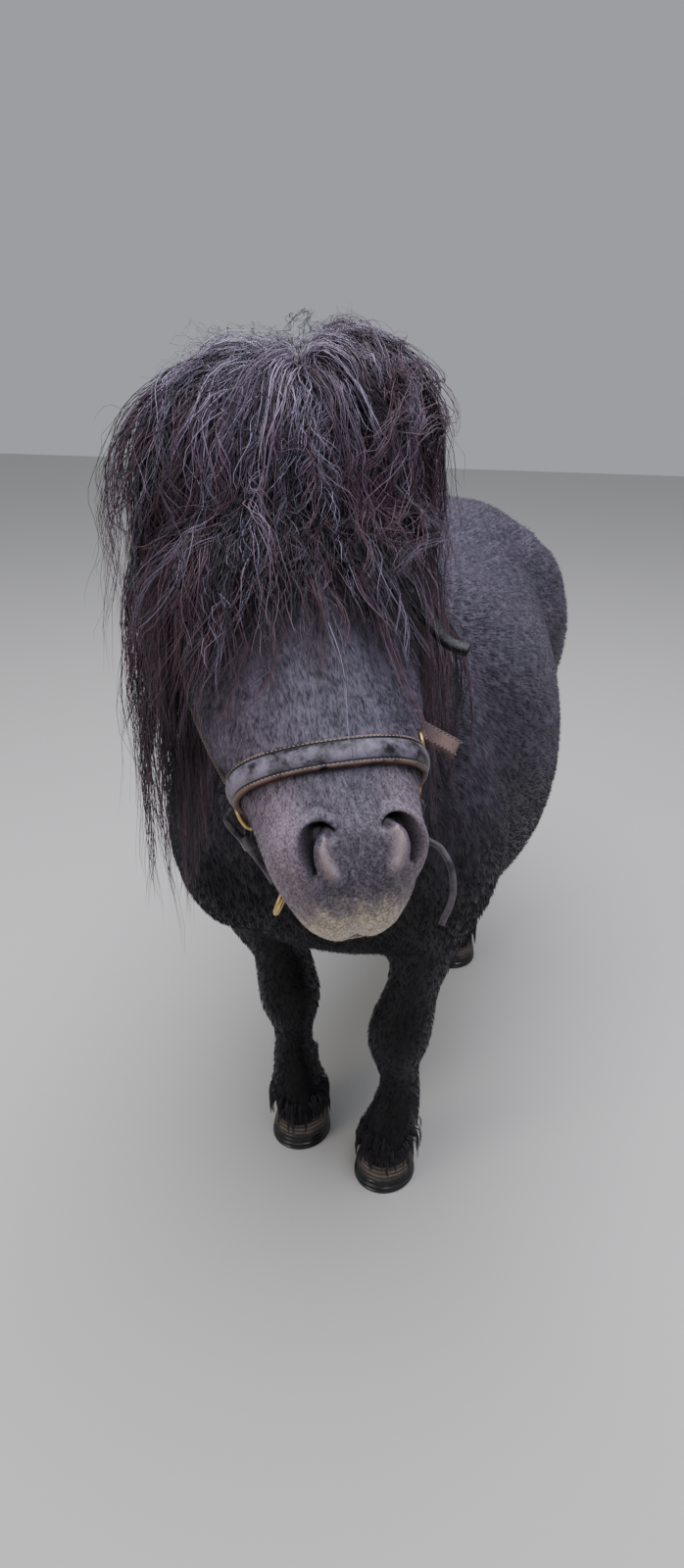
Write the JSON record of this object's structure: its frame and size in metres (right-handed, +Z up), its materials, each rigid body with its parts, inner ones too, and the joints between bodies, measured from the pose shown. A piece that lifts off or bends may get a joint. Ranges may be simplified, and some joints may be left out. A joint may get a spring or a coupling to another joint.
{
  "type": "shetland pony",
  "caption": "Standing black shetland pony with a thick mane, its head turned to its left, wearing a worn leather headcollar.",
  "frame": {"origin": "on the ground, in the middle of the whole model's footprint", "axes": "+Z up; the pony stands along Y and faces -Y; +X is its left side"},
  "size_m": [0.5738, 1.6732, 1.2488],
  "materials": {
    "coat": "dense short black coat, matt with a soft sheen",
    "mane_hair": "coarse black hair with purple-brown lights",
    "hoof_horn": "ridged dark horn, worn",
    "eye": "wet, glossy dark brown",
    "leather": "worn dark brown leather, stitched",
    "brown_leather": "red-brown leather, dry",
    "brass": "worn, dull"
  },
  "bodies": {
    "root": {"buckle": "brass", "cheek_strap_l": "leather", "cheek_strap_r": "leather", "chin_ring": "brass", "chin_strap_l": "leather", "chin_strap_r": "leather", "crownpiece": "leather", "ear_l": "coat", "ear_r": "coat", "eye_l": "eye", "eye_r": "eye", "foreleg_l_lower": "coat", "foreleg_l_upper": "coat", "foreleg_r_lower": "coat", "foreleg_r_upper": "coat", "forelock": "mane_hair", "head": "coat", "hindleg_l_lower": "coat", "hindleg_l_upper": "coat", "hindleg_r_lower": "coat", "hindleg_r_upper": "coat", "hoof_fore_l": "hoof_horn", "hoof_fore_r": "hoof_horn", "hoof_hind_l": "hoof_horn", "hoof_hind_r": "hoof_horn", "lace": "leather", "mane": "mane_hair", "neck": "coat", "noseband": "leather", "side_ring_l": "brass", "side_ring_r": "brass", "strap_end_black": "leather", "strap_end_brown": "brown_leather", "tail": "mane_hair", "throat_lash": "leather", "torso": "coat"}
  },
  "joints": []
}
